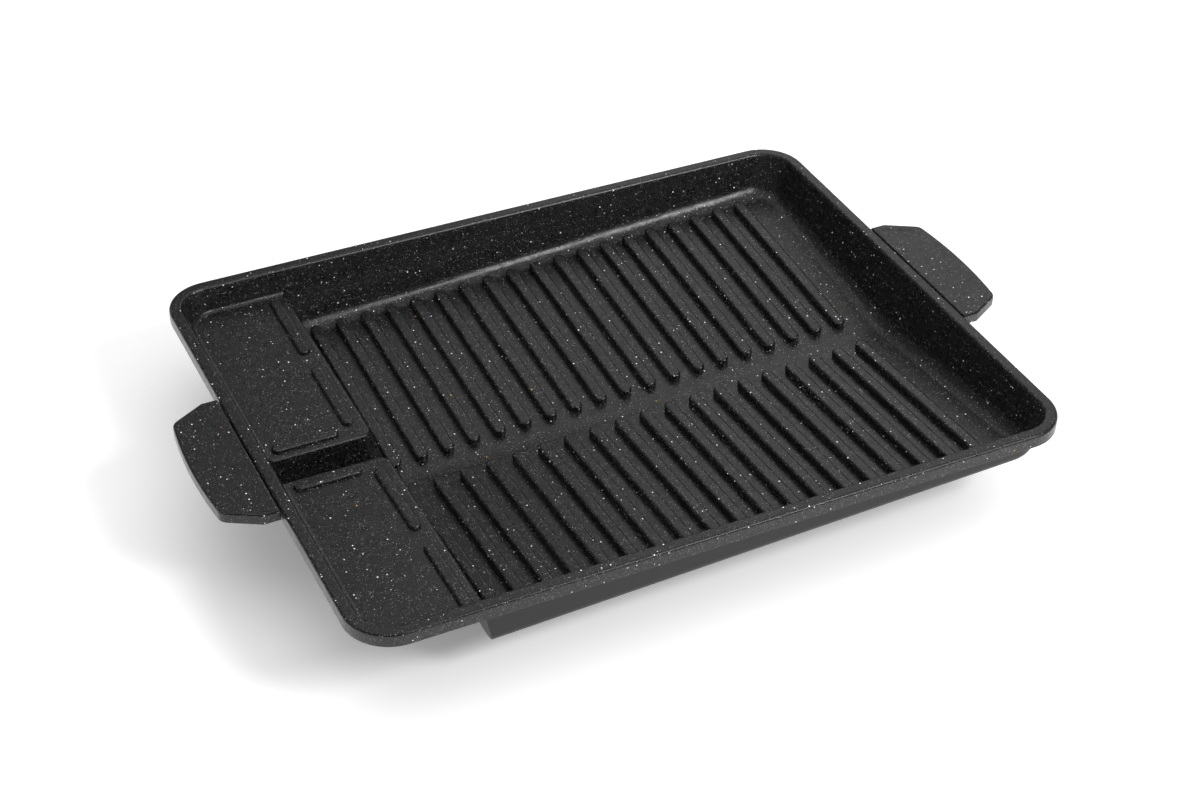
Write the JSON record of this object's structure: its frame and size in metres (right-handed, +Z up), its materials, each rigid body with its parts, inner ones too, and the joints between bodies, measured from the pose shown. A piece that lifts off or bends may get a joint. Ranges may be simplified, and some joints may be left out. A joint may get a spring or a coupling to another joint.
{
  "type": "grill plate",
  "caption": "Ribbed rectangular grill plate with a sloping floor, two raised shelves, a drain channel and a flat handle at each end.",
  "frame": {"origin": "middle of the plate on the plane that its two rails stand on, which is the hob or table top", "axes": "+X along the plate from the drain end to the far handle, +Y to the back across the plate, +Z up"},
  "size_m": [0.3924, 0.265, 0.0503],
  "materials": {
    "plate_coating": "die-cast aluminium under a dark speckled stone-effect non-stick coat",
    "handle_coating": "cast aluminium under the same speckled coat",
    "screw_steel": "plain steel socket screws"
  },
  "bodies": {
    "root": {"grill_plate": "plate_coating", "left_handle": "handle_coating", "right_handle": "handle_coating", "left_handle_screws": "screw_steel", "right_handle_screws": "screw_steel"}
  },
  "joints": []
}
